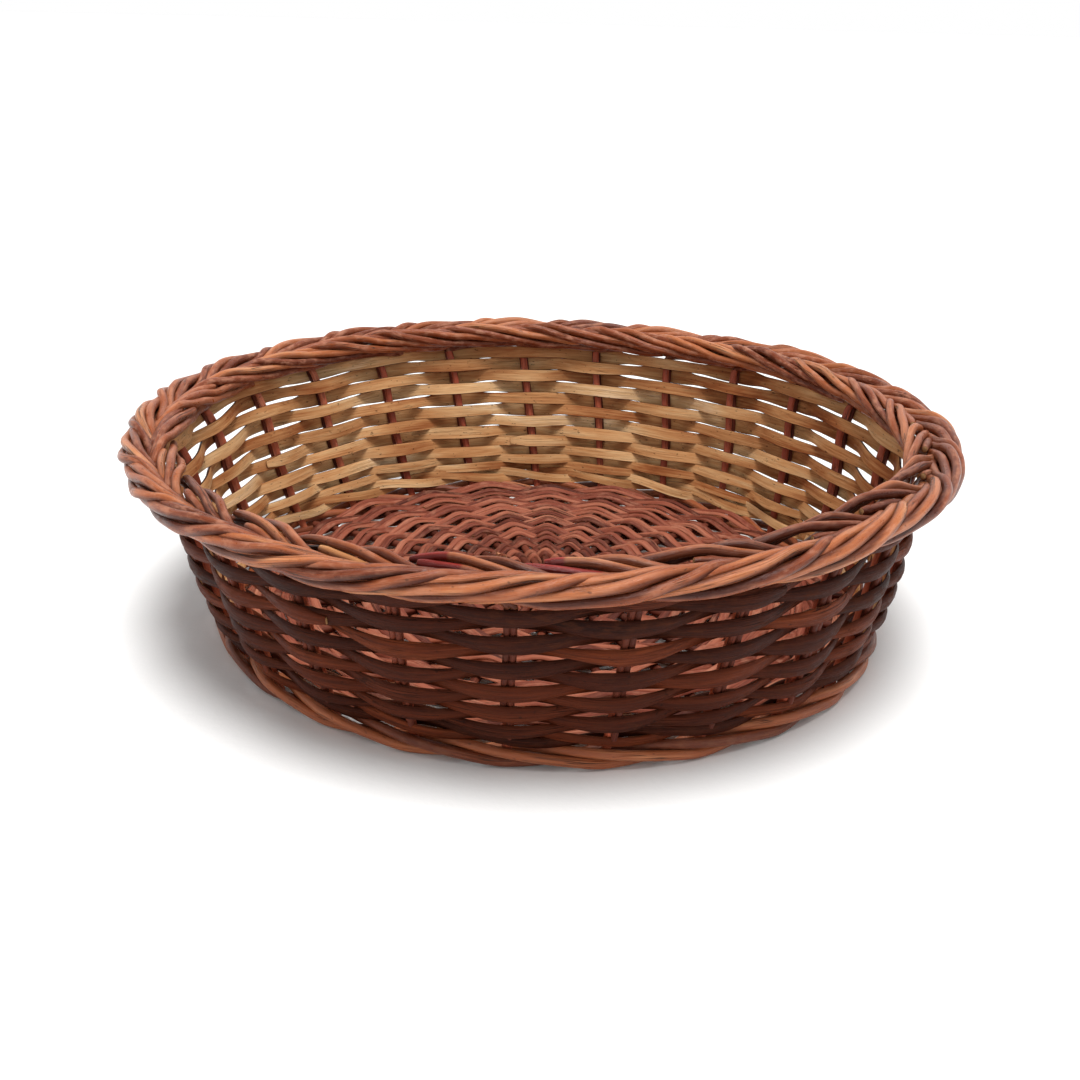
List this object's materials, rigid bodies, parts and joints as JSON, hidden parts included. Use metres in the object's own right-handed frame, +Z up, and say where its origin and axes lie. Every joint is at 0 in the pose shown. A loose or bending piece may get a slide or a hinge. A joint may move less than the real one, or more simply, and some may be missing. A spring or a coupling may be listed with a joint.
{
  "type": "woven fruit basket",
  "caption": "Round shallow willow fruit basket with flared open-weave walls, a flat woven base on a twisted foot, and a thick plaited border.",
  "frame": {"origin": "centre of the resting plane under the foot", "axes": "+Z up through the open mouth; -Y is the side seen nearest in the usual view"},
  "size_m": [0.3593, 0.3593, 0.095],
  "materials": {
    "foot_rod": "unpeeled buff-dyed willow, satin",
    "binding_rod": "unpeeled buff-dyed willow, satin",
    "base_stick": "unpeeled willow, satin",
    "base_skein": "split willow, matte red-brown",
    "stake": "unpeeled willow, satin",
    "wall_skein": "split willow, pale inner face and brown bark face",
    "border_rod": "unpeeled willow, worn satin bark"
  },
  "bodies": {
    "root": {"foot_rod_1": "foot_rod", "foot_rod_2": "foot_rod", "foot_rod_3": "foot_rod", "binding_rod_1": "binding_rod", "binding_rod_2": "binding_rod", "base_sticks_lower": "base_stick", "base_sticks_upper": "base_stick", "base_cross_ties": "base_skein", "base_weaver_1": "base_skein", "base_weaver_2": "base_skein", "base_weaver_3": "base_skein", "base_weaver_4": "base_skein", "base_weaver_5": "base_skein", "base_weaver_6": "base_skein", "base_weaver_7": "base_skein", "base_weaver_8": "base_skein", "base_weaver_9": "base_skein", "base_weaver_10": "base_skein", "base_weaver_11": "base_skein", "base_weaver_12": "base_skein", "base_weaver_13": "base_skein", "base_weaver_14": "base_skein", "base_weaver_15": "base_skein", "base_weaver_16": "base_skein", "stakes": "stake", "bye_stakes_long": "stake", "bye_stakes_short": "stake", "wall_weaver_1": "wall_skein", "wall_weaver_2": "wall_skein", "wall_weaver_3": "wall_skein", "wall_weaver_4": "wall_skein", "wall_weaver_5": "wall_skein", "wall_weaver_6": "wall_skein", "wall_weaver_7": "wall_skein", "wall_weaver_8": "wall_skein", "wall_weaver_9": "wall_skein", "wall_weaver_10": "wall_skein", "wall_weaver_11": "wall_skein", "border_plait_1": "border_rod", "border_plait_2": "border_rod", "border_plait_3": "border_rod", "border_plait_4": "border_rod", "border_plait_5": "border_rod"}
  },
  "joints": []
}
